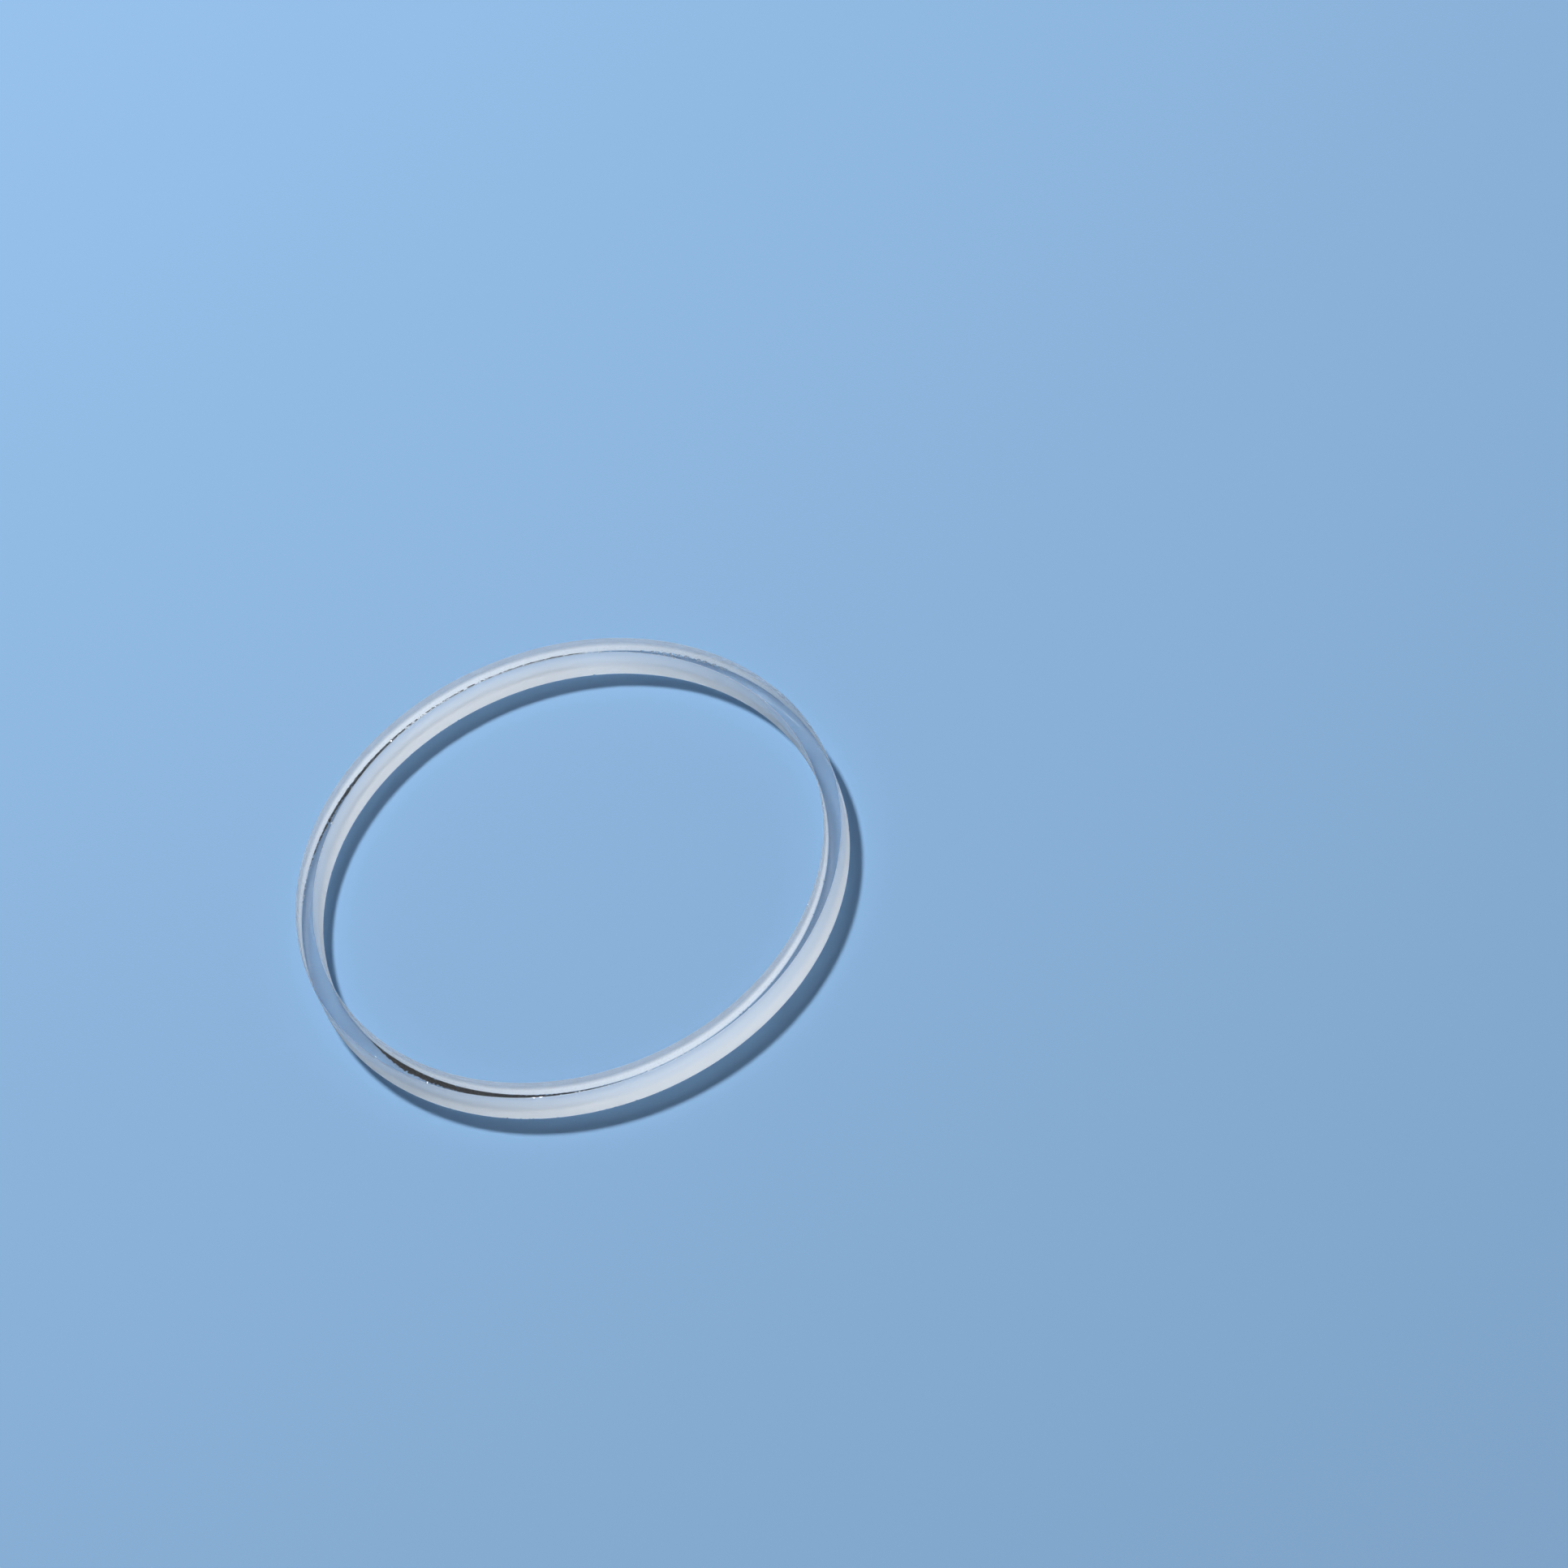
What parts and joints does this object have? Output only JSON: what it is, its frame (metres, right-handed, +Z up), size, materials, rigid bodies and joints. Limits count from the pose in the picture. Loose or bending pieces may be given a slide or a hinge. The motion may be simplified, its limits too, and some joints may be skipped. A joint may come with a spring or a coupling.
{
  "type": "quartz ring",
  "caption": "Flat ring of clear fused quartz with polished faces and frosted, core-cut walls, a spacer or support for furnace and wafer-handling ware.",
  "frame": {"origin": "centre of the lower flat face, on the ring's axis", "axes": "+Z up along the ring's axis, -Y towards the picture's camera, +X to its right"},
  "size_m": [0.076, 0.076, 0.005],
  "materials": {
    "fused_quartz": "polished clear flat faces, ground frosted inner and outer walls"
  },
  "bodies": {
    "root": {"quartz_ring": "fused_quartz"}
  },
  "joints": []
}
